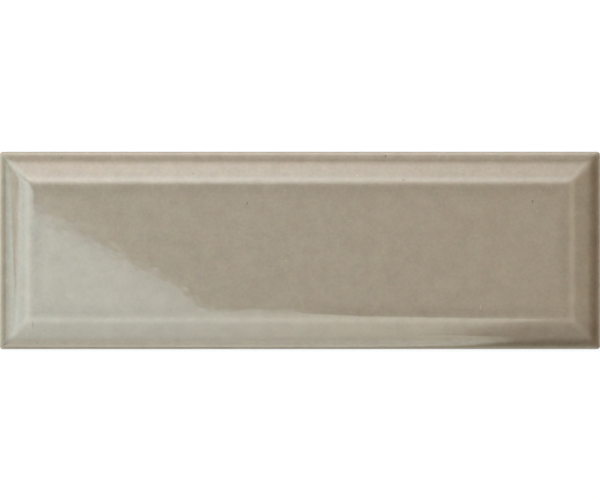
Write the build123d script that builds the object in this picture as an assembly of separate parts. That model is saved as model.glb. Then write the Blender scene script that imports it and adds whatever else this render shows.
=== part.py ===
from build123d import *

import os
from math import atan2, floor, hypot, tan

# A bevelled wall tile: one pressed and fired ceramic piece with a raised flat panel. It lies on its back.
# The origin is at the middle of the back, +X runs along the length, +Y across the width and +Z out of the
# glazed face. All sizes are in millimetres.

# Outline of the tile, seen from the front
LENGTH = 298.0
WIDTH = 98.0
CORNER_RADIUS = 1.8

# Section of the face, from the outer edge inwards and upwards
EDGE_HEIGHT = 4.4
NOSE_WIDTH = 4.6
NOSE_RISE = 2.6
BEVEL_WIDTH = 9.4
BEVEL_RISE = 2.0

# Rounding of the glazed face along its break lines, and the small bevel round the foot
ARRIS_RADIUS = 2.5
SHOULDER_RADIUS = 15.0
CREASE_RADIUS = 36.0
FOOT_CHAMFER = 0.6

# Back of the tile: a plain border, and shallow grooves that key into the adhesive
BACK_BORDER = 6.0
GROOVE_WIDTH = 7.0
RIB_WIDTH = 3.5
GROOVE_DEPTH = 0.8
GROOVE_DRAFT = 30.0

# Share of a run that one rounding may use, so that two roundings on a run never meet
RUN_SHARE = 0.48

# Steps from one level outline to the next over a rounding
ROUNDING_STEPS = 6


def fitting_radius(before: tuple, corner: tuple, after: tuple, radius: float) -> float:
    """The wanted radius at a corner of the section, or the largest one that its two runs leave room for."""
    run_in = (corner[0] - before[0], corner[1] - before[1])
    run_out = (after[0] - corner[0], after[1] - corner[1])
    cross = run_in[0] * run_out[1] - run_in[1] * run_out[0]
    dot = run_in[0] * run_out[0] + run_in[1] * run_out[1]
    half_turn = abs(atan2(cross, dot)) / 2
    shorter_run = min(hypot(*run_in), hypot(*run_out))
    return min(radius, RUN_SHARE * shorter_run / tan(half_turn))


def section_line() -> Wire:
    """The section of the edge and face from the foot to the panel, as inset from the edge against height."""
    shoulder_height = EDGE_HEIGHT + NOSE_RISE
    panel_height = shoulder_height + BEVEL_RISE
    points = [
        (FOOT_CHAMFER, 0),
        (0, FOOT_CHAMFER),
        (0, EDGE_HEIGHT),
        (NOSE_WIDTH, shoulder_height),
        (NOSE_WIDTH + BEVEL_WIDTH, panel_height),
        (WIDTH / 2, panel_height),
    ]
    wanted = [0, ARRIS_RADIUS, SHOULDER_RADIUS, CREASE_RADIUS]
    corners = zip(points, points[1:], points[2:], wanted)
    return FilletPolyline(points, radius=[fitting_radius(*corner) for corner in corners])


def level_outline(place: Vector) -> Sketch:
    """The tile's outline at one place on the section: drawn in by its inset, at its height."""
    inset, height = place.X, place.Y
    return Pos(0, 0, height) * RectangleRounded(LENGTH - 2 * inset, WIDTH - 2 * inset, CORNER_RADIUS)


def band(run: Edge) -> Part:
    """The slice of the tile that lies inside one run of the section: a straight run or a rounding."""
    straight = run.geom_type == GeomType.LINE
    steps = 1 if straight else ROUNDING_STEPS
    levels = [level_outline(run @ (step / steps)) for step in range(steps + 1)]
    return loft(levels, ruled=straight)


def pressed_body() -> Part:
    """The body with its raised panel, mitred bevels and rolled edge, stacked band by band from the foot.

    The section's last run lies on the panel, which closes the top band, so it has no band of its own.
    """
    runs = section_line().edges()[:-1]
    foot, *others = [band(run) for run in runs]
    return foot + others


def key_grooves() -> list:
    """The row of grooves that run along the back, each with sloping walls and rounded ends."""
    pitch = GROOVE_WIDTH + RIB_WIDTH
    count = floor((WIDTH - 2 * BACK_BORDER + RIB_WIDTH) / pitch)
    groove = SlotOverall(LENGTH - 2 * BACK_BORDER, GROOVE_WIDTH)
    cutter = extrude(groove, GROOVE_DEPTH, taper=GROOVE_DRAFT)
    return [place * cutter for place in GridLocations(0, pitch, 1, count)]


wall_tile = pressed_body() - key_grooves()

os.makedirs("parts", exist_ok=True)
export_step(wall_tile, "parts/wall_tile.step")
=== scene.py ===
"""The looks of a bevelled wall tile: one glossy glazed ceramic piece that lies on its back.

Lengths are in metres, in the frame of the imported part: +X along the tile, +Y across it and +Z out of its
glazed face. Materials read places in millimetres. The script builds the tile's fine surface, its glaze and
bare biscuit, and a studio to see it in.
"""

import functools
import logging
import math
import operator
from collections.abc import Mapping, Sequence
from dataclasses import dataclass
from enum import Enum
from typing import Any

import bmesh
import bpy
from mathutils import Matrix, Vector

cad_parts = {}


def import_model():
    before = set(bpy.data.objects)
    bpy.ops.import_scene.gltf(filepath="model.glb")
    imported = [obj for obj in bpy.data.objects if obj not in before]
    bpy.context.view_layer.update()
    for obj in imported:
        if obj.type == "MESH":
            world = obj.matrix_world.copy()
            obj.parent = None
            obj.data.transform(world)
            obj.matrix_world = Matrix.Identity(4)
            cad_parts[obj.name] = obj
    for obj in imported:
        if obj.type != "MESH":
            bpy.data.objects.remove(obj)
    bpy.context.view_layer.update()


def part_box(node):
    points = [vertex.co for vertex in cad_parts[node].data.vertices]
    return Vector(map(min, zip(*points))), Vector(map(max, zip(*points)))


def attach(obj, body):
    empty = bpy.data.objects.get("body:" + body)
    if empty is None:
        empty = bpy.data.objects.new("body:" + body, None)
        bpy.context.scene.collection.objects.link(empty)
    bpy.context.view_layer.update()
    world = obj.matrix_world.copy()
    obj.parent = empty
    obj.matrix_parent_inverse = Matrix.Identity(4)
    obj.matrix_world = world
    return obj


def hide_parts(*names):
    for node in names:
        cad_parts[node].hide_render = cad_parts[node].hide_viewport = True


LOG = logging.getLogger("wall_tile")
MILLIMETRE = 0.001
MICRON = 0.000001

# Sockets of a Mix node that mixes colours, which share their names with the sockets for numbers
LOWER_COLOUR = 6
UPPER_COLOUR = 7
MIXED_COLOUR = 2

Colour = tuple[float, float, float]
Place = tuple[float, float]


class Blend(Enum):
    """How one colour goes over another."""

    MIX = "MIX"
    MULTIPLY = "MULTIPLY"
    SOFT_LIGHT = "SOFT_LIGHT"


class CardUse(Enum):
    """What a card is for: it lights the tile, shows in its gloss, does both, or shows dark in its gloss."""

    BOTH = "both"
    LIGHT = "light"
    GLOSS = "gloss"
    SHADE = "shade"


def soft_step(value: float, low: float, high: float) -> float:
    """A soft step from 0 at the low value to 1 at the high one."""
    share = max(0.0, min(1.0, (value - low) / (high - low)))
    return share * share * (3 - 2 * share)


def opaque(colour: Colour) -> tuple[float, float, float, float]:
    """The colour with full cover, as a colour socket takes it."""
    return (*colour, 1.0)


class Signal:
    """A number that varies over a surface: one output socket, open to Python arithmetic."""

    def __init__(self, graph: "Graph", socket: bpy.types.NodeSocket) -> None:
        """Wraps a socket of a graph's node."""
        self.graph = graph
        self.socket = socket

    def __add__(self, other: "Signal | float") -> "Signal":
        """The sum."""
        return self.graph.math("ADD", self, other)

    def __sub__(self, other: "Signal | float") -> "Signal":
        """The difference."""
        return self.graph.math("SUBTRACT", self, other)

    def __mul__(self, other: "Signal | float") -> "Signal":
        """The product."""
        return self.graph.math("MULTIPLY", self, other)

    def __truediv__(self, other: "Signal | float") -> "Signal":
        """The quotient."""
        return self.graph.math("DIVIDE", self, other)

    def __radd__(self, other: float) -> "Signal":
        """The sum, with the number first."""
        return self.graph.math("ADD", other, self)

    def __rsub__(self, other: float) -> "Signal":
        """The difference, with the number first."""
        return self.graph.math("SUBTRACT", other, self)

    def __rmul__(self, other: float) -> "Signal":
        """The product, with the number first."""
        return self.graph.math("MULTIPLY", other, self)

    def __rtruediv__(self, other: float) -> "Signal":
        """The quotient, with the number first."""
        return self.graph.math("DIVIDE", other, self)

    def __abs__(self) -> "Signal":
        """The size without its sign."""
        return self.graph.math("ABSOLUTE", self)

    def rise(self, low: float, high: float) -> "Signal":
        """A soft step from 0 to 1.

        Args:
            low: the value where the step leaves 0.
            high: the value where it reaches 1; below low, the step falls instead.

        Returns:
            The step.
        """
        settings = {"interpolation_type": "SMOOTHSTEP"}
        inputs = {"Value": self, "From Min": low, "From Max": high}
        node = self.graph.add("ShaderNodeMapRange", settings, inputs)
        return Signal(self.graph, node.outputs["Result"])


@dataclass(frozen=True)
class Cloud:
    """Cloudy variation: the width of its largest clouds in millimetres, its finer layers and its weight."""

    size: float
    layers: float
    layer_strength: float
    weight: float = 1.0


class Graph:
    """The nodes of one material or world, added in the order that they are written."""

    def __init__(self, tree: bpy.types.NodeTree) -> None:
        """Empties a node tree and starts anew on it."""
        self.tree = tree
        tree.nodes.clear()

    def add(
        self,
        kind: str,
        settings: Mapping[str, Any] | None = None,
        inputs: Mapping[str | int, Any] | None = None,
    ) -> bpy.types.Node:
        """Adds one node.

        Args:
            kind: the node's type.
            settings: its own settings, set before its sockets.
            inputs: the value or the link of each socket, by name or place.

        Returns:
            The node.
        """
        node = self.tree.nodes.new(kind)
        for name, value in (settings or {}).items():
            setattr(node, name, value)
        for key, value in (inputs or {}).items():
            self.feed(node.inputs[key], value)
        return node

    def feed(self, socket: bpy.types.NodeSocket, value: Any) -> None:
        """Links a socket to a signal or another socket, or sets its value.

        Args:
            socket: the input to feed.
            value: a signal, an output socket, or a plain value.
        """
        if isinstance(value, Signal):
            self.tree.links.new(value.socket, socket)
        elif isinstance(value, bpy.types.NodeSocket):
            self.tree.links.new(value, socket)
        else:
            socket.default_value = value

    def math(self, operation: str, *terms: Signal | float) -> Signal:
        """One step of arithmetic on numbers."""
        node = self.add("ShaderNodeMath", {"operation": operation}, dict(enumerate(terms)))
        return Signal(self, node.outputs[0])

    def brightest(self, signals: Sequence[Signal]) -> Signal:
        """The greatest of the signals at each place."""
        return functools.reduce(functools.partial(self.math, "MAXIMUM"), signals)

    def coordinates(self) -> tuple[bpy.types.NodeSocket, Signal, Signal, Signal]:
        """The place on the object.

        Returns:
            The place as a vector, and its three coordinates, all in millimetres.
        """
        place = self.add("ShaderNodeTexCoord").outputs["Object"]
        settings = {"operation": "SCALE"}
        scaled = self.add("ShaderNodeVectorMath", settings, {0: place, "Scale": 1 / MILLIMETRE}).outputs[0]
        parts = self.add("ShaderNodeSeparateXYZ", None, {0: scaled}).outputs
        return scaled, Signal(self, parts[0]), Signal(self, parts[1]), Signal(self, parts[2])

    def noise(self, place: bpy.types.NodeSocket, cloud: Cloud) -> bpy.types.Node:
        """The noise node of a cloud, which has a number and a colour to read."""
        detail = {"Detail": cloud.layers, "Roughness": cloud.layer_strength}
        return self.add("ShaderNodeTexNoise", None, {"Vector": place, "Scale": 1 / cloud.size, **detail})

    def cloud(self, place: bpy.types.NodeSocket, cloud: Cloud) -> Signal:
        """Cloudy noise about zero.

        Args:
            place: where the noise is read, in millimetres.
            cloud: its size, layers and weight.

        Returns:
            The noise, from about minus half to plus half of its weight.
        """
        return (Signal(self, self.noise(place, cloud).outputs["Fac"]) - 0.5) * cloud.weight

    def layer(self, way: Blend, cover: Signal | float, below: Any, above: Any) -> bpy.types.NodeSocket:
        """Puts a colour over another.

        Args:
            way: how the upper colour goes over the lower one.
            cover: how much of it does, from 0 to 1.
            below: the lower colour, a socket or a value.
            above: the upper colour, a socket or a value.

        Returns:
            The mixed colour.
        """
        node = self.add("ShaderNodeMix", {"data_type": "RGBA", "blend_type": way.value}, {0: cover})
        self.feed(node.inputs[LOWER_COLOUR], below)
        self.feed(node.inputs[UPPER_COLOUR], above)
        return node.outputs[MIXED_COLOUR]

    def close(self, kind: str, surface: bpy.types.Node) -> None:
        """Ends the graph: leads a shader into an output node of the given type."""
        self.add(kind, None, {"Surface": surface.outputs[0]})


def new_material(name: str) -> tuple[bpy.types.Material, Graph]:
    """Starts a material, and a graph on its nodes.

    Args:
        name: the material's name.

    Returns:
        The material and its graph, still empty.
    """
    material = bpy.data.materials.new(name)
    material.use_nodes = True
    return material, Graph(material.node_tree)


def place_mesh(name: str, mesh: bmesh.types.BMesh) -> bpy.types.Object:
    """Turns a finished bmesh into an object at the origin, and frees the bmesh.

    Args:
        name: the name of the object and its mesh.
        mesh: the shape, with its place in it.

    Returns:
        The object.
    """
    data = bpy.data.meshes.new(name)
    mesh.to_mesh(data)
    mesh.free()
    piece = bpy.data.objects.new(name, data)
    bpy.context.scene.collection.objects.link(piece)
    return piece


@dataclass(frozen=True)
class Fade:
    """A soft step over a value: 0 at its start and 1 at its end."""

    start: float
    end: float

    def over(self, value: Signal) -> Signal:
        """The step, taken over a value."""
        return value.rise(self.start, self.end)


@dataclass(frozen=True)
class GlazeAndShadeBand:
    """A band round the tile where the glaze is darker, or lighter if its weight is below 0.

    Each band is partly thicker or thinner glaze and partly painted shade or painted highlight. Its start,
    top and end are distances in from the tile's edge, in millimetres.
    """

    start: float
    top: float
    end: float
    weight: float

    def lay(self, inset: Signal) -> Signal:
        """What the band adds to the glaze's thickness, painted shade and highlight included."""
        return inset.rise(self.start, self.top) * inset.rise(self.end, self.top) * self.weight


@dataclass(frozen=True)
class Fleck:
    """A small mark fired into the glaze, with its place and size on the face in millimetres.

    Its darkness is what it adds to the glaze's thickness. That of a pale mark is below 0.
    """

    x: float
    y: float
    width: float
    length: float
    darkness: float

    def lay(self, x: Signal, y: Signal) -> Signal:
        """Lays the mark on the face.

        Args:
            x: the place along the tile.
            y: the place across it.

        Returns:
            What the mark adds to the glaze's thickness.
        """
        across = (x - self.x) * (2 / self.width)
        along = (y - self.y) * (2 / self.length)
        return (across * across + along * along).rise(1.0, 0.0) * self.darkness


@dataclass(frozen=True)
class GlazedCeramic:
    """A glossy taupe glaze on pale biscuit: lighter over each break and darker beside it.

    This is partly thinner and thicker glaze and partly painted highlight and painted shade; painted shade
    also darkens the lower right end. The length and width are the tile's, in metres. Other lengths are in
    millimetres unless named otherwise.
    """

    length: float
    width: float

    # Colours and gloss
    thin: Colour = (0.50, 0.382, 0.289)
    thick: Colour = (0.14, 0.090, 0.0545)
    tints: Cloud = Cloud(5.0, 4.0, 0.75, 0.14)
    glaze_roughness: float = 0.02
    refraction: float = 1.6
    biscuit: Colour = (0.62, 0.53, 0.43)
    grain_shade: Colour = (0.55, 0.5, 0.45)
    grain_cover: float = 0.35
    firing_shade: Colour = (0.84, 0.74, 0.62)
    firing_cover: float = 0.5
    firing_clouds: Cloud = Cloud(24.0, 3.0, 0.6)
    firing_fade: Fade = Fade(-0.2, 0.25)
    biscuit_roughness: float = 0.85

    # How thick the glaze lies, from 0 for thin to 1 for thick; painted highlights lower it and painted
    # shade raises it
    mean_thickness: float = 0.5
    mitre_angle: float = math.radians(45)
    hip_blend: float = 3.0
    # Painted highlight and thinner glaze: lighter along the crease where the bevels meet the panel
    crease: GlazeAndShadeBand = GlazeAndShadeBand(12.2, 14.6, 17.0, -0.15)
    # Painted shade and thicker glaze: a darker band just inside the crease, on the panel
    trough: GlazeAndShadeBand = GlazeAndShadeBand(15.8, 18.6, 24.0, 0.07)
    # Painted shade and thicker glaze: darker on the rolled nose all round the edge
    nose: GlazeAndShadeBand = GlazeAndShadeBand(0.9, 3.0, 7.5, 0.225)
    # Painted highlight and thinner glaze: lighter on the arris, out to the edge
    arris: Fade = Fade(1.9, 0.1)
    arris_weight: float = -0.22
    # Painted highlight: lighter along the hips where the bevels meet, between the crease and the nose
    hip: Fade = Fade(3.0, 0.0)
    hip_top: Fade = Fade(16.0, 13.0)
    hip_foot: Fade = Fade(3.5, 6.0)
    hip_highlight_weight: float = -0.11
    # Painted shade: darker glaze over the lower bevel and nose towards the right end
    painted_shade_along: Fade = Fade(60.0, 125.0)
    painted_shade_across: Fade = Fade(-30.0, -42.0)
    painted_shade_weight: float = 0.10
    clouds: Cloud = Cloud(7.0, 3.0, 0.65, 0.26)
    mottle: Cloud = Cloud(1.6, 2.0, 0.5, 0.16)
    pinhole_spacing: float = 26.0
    pinhole_radius: float = 0.4
    pinhole_weight: float = -0.3

    # Dark flecks, a dark and a pale streak, and pale specks
    flecks: tuple[Fleck, ...] = (
        Fleck(42.4, 46.6, 1.3, 1.3, 0.40),
        Fleck(51.2, 34.7, 1.1, 1.3, 0.30),
        Fleck(114.8, 24.2, 1.0, 1.9, 0.42),
        Fleck(-117.9, 45.8, 1.6, 1.4, 0.22),
        Fleck(-52.6, 37.9, 1.2, 1.2, 0.16),
        Fleck(-25.9, 23.2, 1.0, 1.9, 0.32),
        Fleck(-129.7, -45.9, 1.2, 1.4, 0.14),
        Fleck(-131.7, -36.7, 1.3, 6.0, 0.18),
        Fleck(89.2, -27.8, 1.0, 3.2, -0.18),
        Fleck(117.2, 19.2, 0.9, 0.7, -0.50),
        Fleck(142.3, 24.8, 0.7, 0.7, -0.40),
        Fleck(144.3, 20.3, 0.7, 0.7, -0.50),
        Fleck(144.8, 10.4, 0.7, 0.7, -0.40),
        Fleck(70.4, -4.0, 0.8, 0.7, -0.30),
        Fleck(28.5, 37.1, 0.8, 0.7, -0.35),
        Fleck(-7.2, 29.6, 0.7, 0.7, -0.40),
        Fleck(-6.8, -5.0, 1.0, 0.7, -0.50),
    )

    # Where the glaze ends on the edge, and the fine relief of glaze and biscuit
    glaze_line: float = 1.9
    line_wander: Cloud = Cloud(14.0, 3.0, 0.6, 2.4)
    line_fade: Fade = Fade(-0.12, 0.12)
    relief_in_metres: float = 3 * MICRON
    swell: Cloud = Cloud(9.0, 1.0, 0.4, 1.5)
    ripple: Cloud = Cloud(4.0, 1.0, 0.4, 5.0)
    grain: Cloud = Cloud(0.7, 3.0, 0.7)
    grain_relief: float = 40.0

    def thickness(self, graph: Graph, place: bpy.types.NodeSocket, x: Signal, y: Signal) -> Signal:
        """How thick the glaze lies, with painted highlights and painted shade added in.

        Args:
            graph: the material's nodes.
            place: the place on the tile.
            x: the place along the tile.
            y: the place across it.

        Returns:
            The thickness, from about 0 for thin to 1 for thick.
        """
        from_end = self.length / 2 / MILLIMETRE - abs(x)
        from_side = self.width / 2 / MILLIMETRE - abs(y)
        inset = graph.math("SMOOTH_MIN", from_end, from_side, self.hip_blend)
        from_hip = abs(from_end - from_side) * math.cos(self.mitre_angle)
        # Painted highlight, with thinner glaze, lightens the arris
        arris = self.arris.over(inset) * self.arris_weight
        # Painted highlight along the hips
        hip_highlight_reach = self.hip_top.over(inset) * self.hip_foot.over(inset)
        hip_highlight = self.hip.over(from_hip) * hip_highlight_reach * self.hip_highlight_weight
        # Painted shade darkens the lower right end
        painted_shade = self.painted_shade_along.over(x) * self.painted_shade_across.over(y) * self.painted_shade_weight
        # The crease, trough and nose bands add painted highlight and shade along with thinner and thicker
        # glaze
        bands = [band.lay(inset) for band in (self.crease, self.trough, self.nose)]
        clouds = [graph.cloud(place, cloud) for cloud in (self.clouds, self.mottle)]
        marks = [fleck.lay(x, y) for fleck in self.flecks]
        parts = (arris, hip_highlight, painted_shade, *bands, *clouds, self.pinholes(graph, place), *marks)
        return sum(parts, self.mean_thickness)

    def pinholes(self, graph: Graph, place: bpy.types.NodeSocket) -> Signal:
        """Strews pinholes over the face.

        Args:
            graph: the material's nodes.
            place: the place on the tile.

        Returns:
            What they add to the glaze's thickness.
        """
        settings = {"voronoi_dimensions": "2D"}
        cells = {"Vector": place, "Scale": 1 / self.pinhole_spacing}
        distance = Signal(graph, graph.add("ShaderNodeTexVoronoi", settings, cells).outputs["Distance"])
        return distance.rise(self.pinhole_radius / self.pinhole_spacing, 0.0) * self.pinhole_weight

    def glaze(self, graph: Graph, place: bpy.types.NodeSocket, thickness: Signal) -> bpy.types.NodeSocket:
        """The glaze's colour, which goes by its thickness, painted highlights and shade included, and
        varies a little in hue.

        Args:
            graph: the material's nodes.
            place: the place on the tile.
            thickness: how thick the glaze lies there, with the painted highlights and shade.

        Returns:
            The colour.
        """
        colour = graph.layer(Blend.MIX, thickness, opaque(self.thin), opaque(self.thick))
        tints = graph.noise(place, self.tints).outputs["Color"]
        return graph.layer(Blend.SOFT_LIGHT, self.tints.weight, colour, tints)

    def bare(self, graph: Graph, place: bpy.types.NodeSocket, grain: Signal) -> bpy.types.NodeSocket:
        """The biscuit's colour, with its grain and the broad tints of its firing.

        Args:
            graph: the material's nodes.
            place: the place on the tile.
            grain: the biscuit's grain there.

        Returns:
            The colour.
        """
        grain_cover = (grain + 0.5) * self.grain_cover
        colour = graph.layer(Blend.MULTIPLY, grain_cover, opaque(self.biscuit), opaque(self.grain_shade))
        firing = self.firing_fade.over(graph.cloud(place, self.firing_clouds))
        return graph.layer(Blend.MULTIPLY, firing * self.firing_cover, colour, opaque(self.firing_shade))

    def build(self) -> bpy.types.Material:
        """Makes the material.

        Returns:
            The material, with glaze on the face and bare biscuit below the glaze line and on the back.
        """
        material, graph = new_material("glazed_ceramic")
        place, x, y, z = graph.coordinates()
        glazed = self.line_fade.over(z - (self.glaze_line + graph.cloud(place, self.line_wander)))
        grain = graph.cloud(place, self.grain)
        glaze = self.glaze(graph, place, self.thickness(graph, place, x, y))
        colour = graph.layer(Blend.MIX, glazed, self.bare(graph, place, grain), glaze)
        roughness = self.biscuit_roughness + glazed * (self.glaze_roughness - self.biscuit_roughness)
        waves = graph.cloud(place, self.swell) + graph.cloud(place, self.ripple)
        height = waves * glazed + grain * (1 - glazed) * self.grain_relief
        bump = graph.add("ShaderNodeBump", None, {"Distance": self.relief_in_metres, "Height": height})
        inputs = {
            "Base Color": colour,
            "Roughness": roughness,
            "IOR": self.refraction,
            "Normal": bump.outputs[0],
        }
        graph.close("ShaderNodeOutputMaterial", graph.add("ShaderNodeBsdfPrincipled", None, inputs))
        return material


@dataclass
class WallTile:
    """The tile's fine surface: rings from the foot up over the rolled edge and bevels, and a keyed back."""

    length: float
    width: float
    height: float

    # Corners of the outline at the edge and on the hips
    corner_radius: float = 1.8 * MILLIMETRE
    hip_radius: float = 2.0 * MILLIMETRE
    hip_inset: float = 6.0 * MILLIMETRE

    # Section of the edge and face; each reach is half the width over which one slope turns into the next
    foot_chamfer: float = 0.6 * MILLIMETRE
    arris_radius: float = 2.5 * MILLIMETRE
    nose_width: float = 4.6 * MILLIMETRE
    nose_slope: float = math.radians(30)
    nose_reach: float = 4.4 * MILLIMETRE
    bevel_inset: float = 14.05 * MILLIMETRE
    bevel_slope: float = math.radians(12.2)
    bevel_reach: float = 3.85 * MILLIMETRE

    # Key grooves of the back; their ends are rounded by nearly half their width
    back_border: float = 6.0 * MILLIMETRE
    groove_width: float = 7.0 * MILLIMETRE
    rib_width: float = 3.5 * MILLIMETRE
    groove_depth: float = 0.8 * MILLIMETRE
    groove_draft: float = math.radians(30)
    groove_end_share: float = 0.49

    # Fineness of the mesh
    corner_segments: int = 8
    face_pitch: float = 3.0 * MILLIMETRE
    ring_pitch: float = 0.35 * MILLIMETRE
    arris_steps: int = 9
    ridge_width: float = 1.0 * MILLIMETRE
    sharp_angle: float = math.radians(30)

    def slope(self, inset: float) -> float:
        """How steeply the glazed face falls outwards.

        Args:
            inset: the distance in from the tile's edge, past the arris.

        Returns:
            The slope: the nose's at the edge, then the bevel's, then none on the panel, with soft changes.
        """
        bevel = max(0.0, min(1.0, (self.bevel_inset + self.bevel_reach - inset) / (2 * self.bevel_reach)))
        nose = 1 - soft_step(inset, self.nose_width - self.nose_reach, self.nose_width + self.nose_reach)
        return self.bevel_slope * bevel + (self.nose_slope - self.bevel_slope) * nose

    def section(self) -> list[Vector]:
        """The section of the edge and face.

        Returns:
            Points from the foot to the middle of the panel, as inset from the edge and height.
        """
        arris_inset = self.arris_radius * (1 - math.sin(self.nose_slope))
        panel_inset = self.bevel_inset + self.bevel_reach
        count = math.ceil((panel_inset - arris_inset) / self.ring_pitch)
        step = (panel_inset - arris_inset) / count
        face = [Vector((panel_inset, self.height))]
        for _ in range(count):
            middle = face[-1].x - step / 2
            face.append(face[-1] - Vector((step, step * math.tan(self.slope(middle)))))
        nose_normal = Vector((-math.sin(self.nose_slope), math.cos(self.nose_slope)))
        arris_middle = face[-1] - nose_normal * self.arris_radius
        arris_turn = math.pi / 2 - self.nose_slope
        arris = []
        for index in range(1, self.arris_steps + 1):
            angle = self.nose_slope + arris_turn * index / self.arris_steps
            arris.append(arris_middle + Vector((-math.sin(angle), math.cos(angle))) * self.arris_radius)
        foot = [Vector((0, self.foot_chamfer)), Vector((self.foot_chamfer, 0))]
        middle_inset = self.width / 2 - self.hip_radius - self.ridge_width / 2
        return self.spaced([Vector((middle_inset, self.height)), *face, *arris, *foot])[::-1]

    def spaced(self, points: Sequence[Vector]) -> list[Vector]:
        """Adds points on the long straight runs, so that none is much longer than the face's pitch.

        Args:
            points: the points of the section.

        Returns:
            The same points with the added ones between them.
        """
        spaced = [points[0]]
        for start, end in zip(points, points[1:]):
            count = max(1, round((end - start).length / self.face_pitch))
            spaced += [start.lerp(end, step / count) for step in range(1, count + 1)]
        return spaced

    def rounding(self, inset: float) -> float:
        """The radius of the corners at an inset from the edge: small at the edge, larger on the hips."""
        share = soft_step(inset, 0.0, self.hip_inset)
        return self.corner_radius + (self.hip_radius - self.corner_radius) * share

    def rounded_sheet(
        self, mesh: bmesh.types.BMesh, size: Place, middle: float, radius: float
    ) -> list[bmesh.types.BMVert]:
        """Draws a flat oblong sheet with rounded corners at the foot's level.

        Args:
            mesh: the mesh that is being made.
            size: the sheet's length and width.
            middle: where its middle lies across the tile.
            radius: the radius of its corners.

        Returns:
            The vertices of its corners.
        """
        place = Matrix.Translation((0, middle, 0)) @ Matrix.Diagonal((*size, 1, 1))
        corners = bmesh.ops.create_grid(mesh, x_segments=1, y_segments=1, size=0.5, matrix=place)["verts"]
        return bmesh.ops.bevel(
            mesh,
            geom=corners,
            offset=radius,
            segments=self.corner_segments,
            profile=0.5,
            affect="VERTICES",
            material=-1,
        )["verts"]

    def outline(self, mesh: bmesh.types.BMesh, inset: float) -> list[bmesh.types.BMEdge]:
        """Draws the tile's outline at the foot.

        Args:
            mesh: the mesh that is being made, still empty.
            inset: how far the outline lies in from the tile's edge.

        Returns:
            The edges of the outline, with rounded corners and evenly divided sides.
        """
        size = (self.length - 2 * inset, self.width - 2 * inset)
        self.rounded_sheet(mesh, size, 0.0, self.rounding(inset))
        for edge in [edge for edge in mesh.edges if edge.calc_length() > self.corner_radius]:
            cuts = round(edge.calc_length() / self.face_pitch) - 1
            bmesh.ops.subdivide_edges(mesh, edges=[edge], cuts=cuts)
        bmesh.ops.delete(mesh, geom=mesh.faces[:], context="FACES_ONLY")
        return mesh.edges[:]

    def step_in(self, vertices: Sequence[bmesh.types.BMVert], start: Vector, end: Vector) -> None:
        """Moves a ring from one point of the section to the next, and rounds its corners as they are there.

        Args:
            vertices: the ring's vertices.
            start: the point of the section that they lie on.
            end: the point that they move to.
        """
        start_radius = self.rounding(start.x)
        end_radius = self.rounding(end.x)
        for vertex in vertices:
            for axis, size in enumerate((self.length, self.width)):
                start_core = size / 2 - start_radius - start.x
                end_core = size / 2 - end_radius - end.x
                core = max(-start_core, min(start_core, vertex.co[axis]))
                arc = vertex.co[axis] - core
                vertex.co[axis] = core * end_core / start_core + arc * end_radius / start_radius
            vertex.co.z = end.y

    def build_face(self, mesh: bmesh.types.BMesh) -> list[bmesh.types.BMEdge]:
        """Raises the edge, the bevels and the panel, ring by ring.

        Args:
            mesh: the mesh that is being made.

        Returns:
            The edges of the foot, which the back closes.
        """
        section = self.section()
        foot = self.outline(mesh, section[0].x)
        ring = foot
        for start, end in zip(section, section[1:]):
            made = bmesh.ops.extrude_edge_only(mesh, edges=ring)["geom"]
            vertices = [part for part in made if isinstance(part, bmesh.types.BMVert)]
            ring = [part for part in made if isinstance(part, bmesh.types.BMEdge)]
            self.step_in(vertices, start, end)
        bmesh.ops.contextual_create(mesh, geom=ring)
        return foot

    def build_back(self, mesh: bmesh.types.BMesh, foot: Sequence[bmesh.types.BMEdge]) -> None:
        """Sinks the key grooves and closes the back round them.

        Args:
            mesh: the mesh that is being made.
            foot: the edges of the foot.
        """
        pitch = self.groove_width + self.rib_width
        count = math.floor((self.width - 2 * self.back_border + self.rib_width) / pitch)
        size = (self.length - 2 * self.back_border, self.groove_width)
        wall = self.groove_depth * math.tan(self.groove_draft)
        rims: list[bmesh.types.BMEdge] = []
        for index in range(count):
            middle = (index - (count - 1) / 2) * pitch
            rounded = self.rounded_sheet(mesh, size, middle, self.groove_width * self.groove_end_share)
            bed = rounded[0].link_faces[0]
            rims += bed.edges[:]
            bmesh.ops.inset_individual(mesh, faces=[bed], thickness=wall, depth=self.groove_depth)
        bmesh.ops.triangle_fill(mesh, use_beauty=True, edges=[*foot, *rims])

    def settle_order(self, mesh: bmesh.types.BMesh) -> None:
        """Puts the mesh's parts in order of their places, so that every run gives the same mesh.

        Args:
            mesh: the finished mesh.
        """
        for index, vertex in enumerate(sorted(mesh.verts, key=lambda vertex: tuple(vertex.co))):
            vertex.index = index
        mesh.verts.sort()
        for parts in (mesh.edges, mesh.faces):
            ordered = sorted(parts, key=lambda part: sorted(vertex.index for vertex in part.verts))
            for index, part in enumerate(ordered):
                part.index = index
            parts.sort()

    def build(self) -> bpy.types.Object:
        """Makes the tile's mesh and its object.

        Returns:
            The object, at the origin, with its place in its mesh.
        """
        mesh = bmesh.new()
        foot = self.build_face(mesh)
        self.build_back(mesh, foot)
        bmesh.ops.recalc_face_normals(mesh, faces=mesh.faces[:])
        for face in mesh.faces:
            face.smooth = True
        self.settle_order(mesh)
        tile = place_mesh("tile_surface", mesh)
        tile.data.set_sharp_from_angle(angle=self.sharp_angle)
        return tile

    def dress(self, tile: bpy.types.Object) -> None:
        """Glazes the tile and sets it on the part's body, in place of its plain solid.

        Args:
            tile: the tile's object.
        """
        tile.data.materials.append(GlazedCeramic(self.length, self.width).build())
        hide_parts("wall_tile")
        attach(tile, "root")


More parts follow.
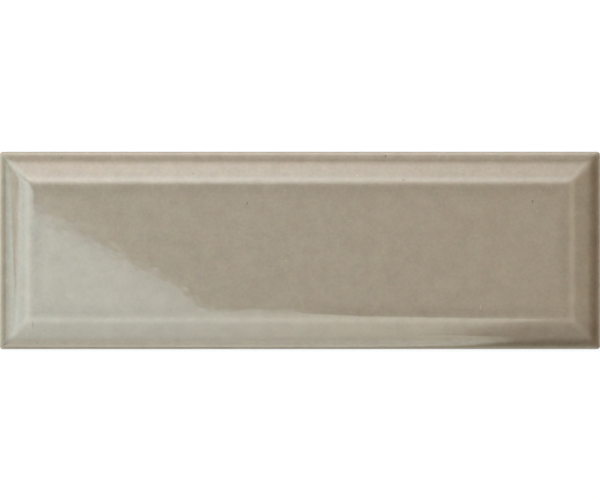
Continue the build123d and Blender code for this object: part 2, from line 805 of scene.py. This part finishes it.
@dataclass(frozen=True)
class Side:
    """One side of a patch of light: the corner where it starts, and the width over which it fades there.

    A side that gets softer or crisper on its way also has the width at its end.
    """

    x: float
    y: float
    blur: float
    end_blur: float | None = None

    def mask(self, following: "Side", x: Signal, y: Signal) -> Signal:
        """How bright the side leaves the light at a place.

        Args:
            following: the next side, which starts where this one ends.
            x: the place along the tile, in millimetres.
            y: the place across the tile, in millimetres.

        Returns:
            The brightness, from 0 outside to 1 inside, and half of that on the side's line.
        """
        along = Vector((following.x - self.x, following.y - self.y)) / MILLIMETRE
        way = along.normalized()
        from_corner = x - self.x / MILLIMETRE, y - self.y / MILLIMETRE
        depth = from_corner[0] * -way.y + from_corner[1] * way.x
        fade = self.blur / MILLIMETRE / 2
        if self.end_blur is None:
            return depth.rise(-fade, fade)
        passed = (from_corner[0] * way.x + from_corner[1] * way.y).rise(0.0, along.length)
        growth = (self.end_blur - self.blur) / MILLIMETRE / 2
        return (depth / (fade + passed * growth)).rise(-1.0, 1.0)


@dataclass(frozen=True)
class Patch:
    """A patch of light with straight sides, which run anticlockwise from above and never turn inwards."""

    sides: tuple[Side, ...]

    def mask(self, x: Signal, y: Signal) -> Signal:
        """How bright the patch is at a place, from 0 to 1.

        Args:
            x: the place along the tile, in millimetres.
            y: the place across the tile, in millimetres.

        Returns:
            The brightness.
        """
        pairs = zip(self.sides, (*self.sides[1:], self.sides[0]))
        return functools.reduce(operator.mul, [side.mask(following, x, y) for side, following in pairs])


@dataclass(frozen=True)
class LightCard:
    """A level sheet over the tile that glows or is dark inside its patches, and is clear elsewhere."""

    name: str
    use: CardUse
    patches: tuple[Patch, ...]
    colour: Colour = (0.0, 0.0, 0.0)
    radiance: float = 0.0
    veil: Patch | None = None

    def build(self, height: float) -> bpy.types.Object:
        """Hangs the card.

        Args:
            height: its height over the floor.

        Returns:
            The card, which the camera doesn't see.
        """
        sides = [side for patch in self.patches for side in patch.sides]
        reach = max(side.blur for side in sides) / 2
        low = Vector((min(side.x for side in sides) - reach, min(side.y for side in sides) - reach))
        high = Vector((max(side.x for side in sides) + reach, max(side.y for side in sides) + reach))
        place = Matrix.Translation((*((low + high) / 2), height)) @ Matrix.Diagonal((*(high - low), 1, 1))
        mesh = bmesh.new()
        bmesh.ops.create_grid(mesh, x_segments=1, y_segments=1, size=0.5, matrix=place)
        card = place_mesh(self.name, mesh)
        card.data.materials.append(self.glow())
        card.visible_camera = False
        card.visible_diffuse = self.use in (CardUse.BOTH, CardUse.LIGHT)
        card.visible_glossy = self.use is not CardUse.LIGHT
        card.visible_shadow = False
        return card

    def glow(self) -> bpy.types.Material:
        """The card's material: as bright or dark as its strongest patch, under its veil if it has one.

        Returns:
            The material, which is clear outside the patches.
        """
        material, graph = new_material(self.name)
        _, x, y, _ = graph.coordinates()
        cover = graph.brightest([patch.mask(x, y) for patch in self.patches])
        if self.veil:
            cover = cover * self.veil.mask(x, y)
        clear = graph.add("ShaderNodeBsdfTransparent").outputs[0]
        light = {"Color": opaque(self.colour), "Strength": self.radiance}
        sheet = graph.add("ShaderNodeEmission", None, light).outputs[0]
        if self.use is not CardUse.SHADE:
            sheet = graph.add("ShaderNodeAddShader", None, {0: sheet, 1: clear}).outputs[0]
        mixed = {0: cover, 1: clear, 2: sheet}
        graph.close("ShaderNodeOutputMaterial", graph.add("ShaderNodeMixShader", None, mixed))
        return material


@dataclass(frozen=True)
class LightRig:
    """The cards over the tile: soft light, and the room with one window that shows in its gloss."""

    height: float = 1.3
    gap: float = 3 * MILLIMETRE

    # The window, and the light below it that the lower bevel and nose show
    window: Patch = Patch(
        (
            Side(-0.104, -0.0515, 0.005, 0.04),
            Side(-0.259, 0.043, 0.06),
            Side(-0.50, 0.18, 0.1),
            Side(-0.83, 0.19, 0.05),
            Side(-0.92, 0.06, 0.04),
            Side(-0.935, -0.06, 0.04),
            Side(-0.975, -0.4, 0.3),
            Side(-0.4, -2.9, 0.3),
            Side(-0.10, -2.9, 0.02),
        )
    )
    upper: Patch = Patch(
        (
            Side(0.0, -0.066, 0.02),
            Side(-0.12, -0.059, 0.02),
            Side(-0.3, -0.059, 0.02),
            Side(-0.3, -0.76, 0.06),
            Side(0.16, -0.76, 0.10),
            Side(0.22, -0.45, 0.08),
            Side(0.083, -0.182, 0.02),
        )
    )
    corner: Patch = Patch(
        (
            Side(0.083, -0.182, 0.03),
            Side(-0.1, -0.182, 0.05),
            Side(-0.1, -0.62, 0.10),
            Side(0.16, -0.66, 0.10),
            Side(0.23, -0.41, 0.05),
            Side(0.27, -0.279, 0.03),
        )
    )
    lower: Patch = Patch(
        (
            Side(-0.3, -0.72, 0.02),
            Side(-0.3, -2.9, 0.3),
            Side(0.07, -2.95, 0.15),
            Side(0.28, -2.08, 0.08),
            Side(0.285, -1.6, 0.08),
            Side(0.255, -1.1, 0.08),
            Side(0.22, -0.88, 0.06),
            Side(0.17, -0.78, 0.05),
        )
    )
    foot: Patch = Patch(
        (
            Side(-1.0, -1.3, 0.3),
            Side(-1.0, -2.9, 0.3),
            Side(0.07, -2.95, 0.15),
            Side(0.28, -2.08, 0.08),
            Side(0.285, -1.3, 0.6),
        )
    )
    bright: Patch = Patch(
        (Side(-2.0, 0.6, 0.1), Side(-2.0, -1.2, 0.1), Side(-0.05, -1.2, 0.7), Side(-0.05, 0.6, 0.1))
    )

    # What the left bevel and nose show, and the light beyond that only falls on the tile
    left: Patch = Patch(
        (
            Side(-0.925, -0.06, 0.03),
            Side(-1.09, 0.03, 0.03),
            Side(-1.24, 0.08, 0.1),
            Side(-2.0, 0.28, 0.12),
            Side(-2.0, -0.9, 0.2),
            Side(-0.925, -0.9, 0.1),
        )
    )
    outer: Patch = Patch(
        (Side(-2.5, 2.0, 0.5), Side(-6.0, 2.0, 0.5), Side(-6.0, -2.0, 0.5), Side(-2.5, -2.0, 0.5))
    )

    # What the upper bevel, its hip, its crease and the upper nose show
    warm: Patch = Patch(
        (Side(-0.42, 0.25, 0.28), Side(0.4, 0.25, 1.2), Side(0.4, 1.02, 0.88), Side(-0.42, 1.24, 0.2))
    )
    hip: Patch = Patch(
        (Side(-1.2, 0.25, 0.28), Side(-0.42, 0.25, 0.2), Side(-0.42, 1.24, 0.88), Side(-1.2, 1.45, 0.5))
    )
    sky: Patch = Patch(
        (Side(-0.5, 0.25, 0.12), Side(0.5, 0.25, 0.3), Side(0.5, 0.5, 0.16), Side(-0.5, 0.5, 0.2))
    )
    far: Patch = Patch(
        (Side(-2.5, 1.5, 0.6), Side(0.5, 1.5, 0.8), Side(0.5, 5.0, 0.5), Side(-2.5, 5.0, 0.5))
    )
    rim: Patch = Patch(
        (Side(-2.5, 2.5, 1.0), Side(0.9, 2.5, 0.5), Side(0.9, 6.0, 0.5), Side(-2.5, 6.0, 0.5))
    )

    # The ceiling that the left half of the panel shows, and the dark right side of the room
    ceiling: Patch = Patch(
        (Side(-1.4, -0.6, 0.5), Side(0.0, -0.6, 0.8), Side(0.0, 0.6, 0.5), Side(-1.4, 0.6, 0.5))
    )
    below: Patch = Patch(
        (Side(0.27, -0.36, 0.1), Side(0.27, -3.2, 0.2), Side(1.3, -3.2, 0.2), Side(1.3, -0.36, 0.1))
    )
    beside: Patch = Patch(
        (Side(1.2, 3.0, 0.5), Side(1.2, -3.2, 0.2), Side(4.0, -3.2, 0.2), Side(4.0, 3.0, 0.2))
    )
    wedge: Patch = Patch((Side(0.18, -0.77, 0.06), Side(0.30, -1.12, 0.06), Side(0.30, -0.42, 0.06)))

    def cards(self) -> list[LightCard]:
        """The cards, from the lowest up.

        Returns:
            The cards, each with its use, its patches and its light.
        """
        low = (self.window, self.upper, self.corner, self.lower)
        return [
            LightCard("dark_sheet", CardUse.SHADE, (self.below, self.beside, self.wedge)),
            LightCard("low_card", CardUse.GLOSS, low, (1.0, 1.0, 0.85), 1.78),
            LightCard("cool_card", CardUse.GLOSS, low, (0.19, 0.66, 1.0), 1.26, self.bright),
            LightCard("foot_card", CardUse.GLOSS, (self.foot,), (0.92, 1.0, 0.96), 1.45),
            LightCard("left_card", CardUse.GLOSS, (self.left,), (0.65, 0.93, 1.0), 2.0),
            LightCard("outer_card", CardUse.LIGHT, (self.outer,), (0.53, 0.81, 1.0), 14.6),
            LightCard("warm_card", CardUse.BOTH, (self.warm,), (1.0, 0.965, 0.955), 3.55),
            LightCard("hip_card", CardUse.BOTH, (self.hip,), (0.63, 0.93, 1.0), 3.0),
            LightCard("sky_card", CardUse.GLOSS, (self.sky,), (0.5, 0.88, 1.0), 0.67),
            LightCard("far_card", CardUse.BOTH, (self.far,), (1.0, 0.965, 0.96), 1.73),
            LightCard("rim_card", CardUse.GLOSS, (self.rim,), (0.9, 1.0, 1.0), 3.0),
            LightCard("ceiling_card", CardUse.BOTH, (self.ceiling,), (0.6, 0.83, 1.0), 0.72),
        ]

    def build(self) -> None:
        """Hangs the cards one over the other."""
        for index, card in enumerate(self.cards()):
            card.build(self.height + index * self.gap)
            LOG.info("%s: hung at %.3f m", card.name, self.height + index * self.gap)


@dataclass(frozen=True)
class Floor:
    """A pale floor just under the tile: white to the eye and in the gloss, with a soft shadow.

    Its bounce is its shade for the light that it throws back. Where it is seen, it is matte by its
    shadow share and glows for the rest, so that it comes out white under light of the level given.
    """

    size: float = 8.0
    drop: float = 0.05 * MILLIMETRE
    bounce: float = 0.8
    shadow_share: float = 0.2
    light_level: float = 0.8

    def build(self) -> bpy.types.Object:
        """Lays the floor.

        Returns:
            The floor.
        """
        mesh = bmesh.new()
        bmesh.ops.create_grid(mesh, x_segments=1, y_segments=1, size=self.size / 2)
        bmesh.ops.translate(mesh, verts=mesh.verts[:], vec=(0, 0, -self.drop))
        floor = place_mesh("floor", mesh)
        floor.data.materials.append(self.surface())
        return floor

    def surface(self) -> bpy.types.Material:
        """The floor's material: pale for the light that it throws back, and white where it is seen.

        Returns:
            The material.
        """
        material, graph = new_material("pale_floor")
        rays = graph.add("ShaderNodeLightPath").outputs
        kinds = ("Is Camera Ray", "Is Glossy Ray", "Is Transmission Ray")
        seen = graph.brightest([Signal(graph, rays[kind]) for kind in kinds])
        pale = graph.add("ShaderNodeBsdfDiffuse", None, {"Color": opaque((self.bounce,) * 3)})
        matte = graph.add("ShaderNodeBsdfDiffuse", None, {"Color": opaque((self.shadow_share,) * 3)})
        glow = 1 - self.shadow_share * self.light_level
        white = graph.add("ShaderNodeEmission", None, {"Strength": glow})
        both = graph.add("ShaderNodeAddShader", None, {0: matte.outputs[0], 1: white.outputs[0]})
        mixed = {0: seen, 1: pale.outputs[0], 2: both.outputs[0]}
        graph.close("ShaderNodeOutputMaterial", graph.add("ShaderNodeMixShader", None, mixed))
        return material


@dataclass(frozen=True)
class Studio:
    """The floor, the light and a camera that looks straight down on the tile."""

    floor: Floor = Floor()
    lights: LightRig = LightRig()
    room_light: Colour = (0.35, 0.345, 0.26)
    camera_height: float = 1.2
    camera_place: Place = (0.1 * MILLIMETRE, 0.2 * MILLIMETRE)
    frame_length: float = 298.2 * MILLIMETRE
    sensor_in_millimetres: float = 36.0

    def build_room(self) -> None:
        """Fills the room with its own dim light."""
        world = bpy.data.worlds.new("room")
        world.use_nodes = True
        graph = Graph(world.node_tree)
        glow = graph.add("ShaderNodeBackground", None, {"Color": opaque(self.room_light), "Strength": 1.0})
        graph.close("ShaderNodeOutputWorld", glow)
        bpy.context.scene.world = world

    def build_camera(self) -> None:
        """Hangs the camera over the middle of the tile, square to its face."""
        data = bpy.data.cameras.new("camera")
        data.sensor_width = self.sensor_in_millimetres
        data.lens = self.sensor_in_millimetres * self.camera_height / self.frame_length
        camera = bpy.data.objects.new("camera", data)
        camera.location = (*self.camera_place, self.camera_height)
        bpy.context.scene.collection.objects.link(camera)
        bpy.context.scene.camera = camera

    def build(self) -> None:
        """Sets up the floor, the light and the camera."""
        floor = self.floor.build()
        LOG.info("%s: laid %.1f m wide", floor.name, self.floor.size)
        self.lights.build()
        self.build_room()
        self.build_camera()
        bpy.context.scene.view_settings.view_transform = "Standard"


def main() -> None:
    """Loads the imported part, builds and dresses the tile, sets up the studio and notes the sizes."""
    logging.basicConfig(level=logging.INFO, format="%(name)s: %(message)s")
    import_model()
    low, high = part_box("wall_tile")
    tile = WallTile(*(high - low))
    surface = tile.build()
    tile.dress(surface)
    LOG.info("%s: %d faces on a tile of %s m", surface.name, len(surface.data.polygons), tuple(high - low))
    Studio().build()


if __name__ == "__main__":
    main()
